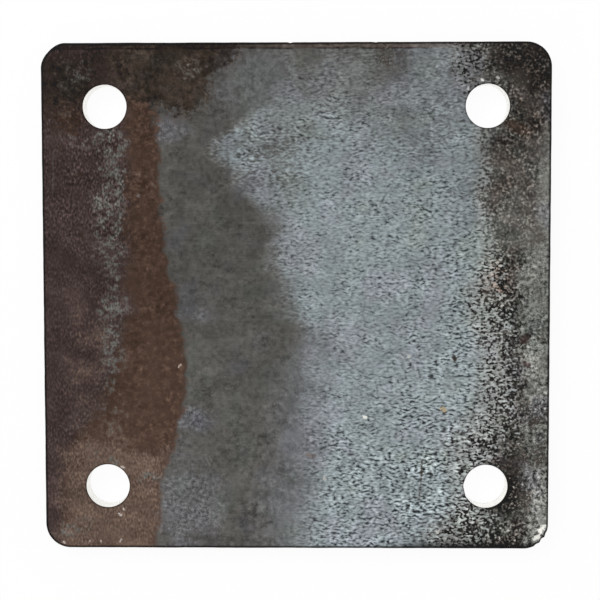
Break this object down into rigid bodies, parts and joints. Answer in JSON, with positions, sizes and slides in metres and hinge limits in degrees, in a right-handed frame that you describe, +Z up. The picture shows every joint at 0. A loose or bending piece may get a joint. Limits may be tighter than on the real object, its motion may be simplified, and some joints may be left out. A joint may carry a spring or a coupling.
{
  "type": "steel base plate",
  "caption": "Square hot-rolled steel plate with rounded corners and a bolt hole near each corner, blue-grey mill scale and brown rust; a foot or fixing plate for a post.",
  "frame": {"origin": "middle of the underside, on the floor that the plate lies on", "axes": "+Z up through the thickness, +X along the width, with the rust band at -X and the dark scale edge at +X, +Y towards the top of the picture"},
  "size_m": [0.2, 0.2, 0.01],
  "materials": {
    "scaled_steel": "hot-rolled mill scale, blue-grey and dull, with a band of brown rust down one side and dark worn edges"
  },
  "bodies": {
    "root": {"plate": "scaled_steel"}
  },
  "joints": []
}
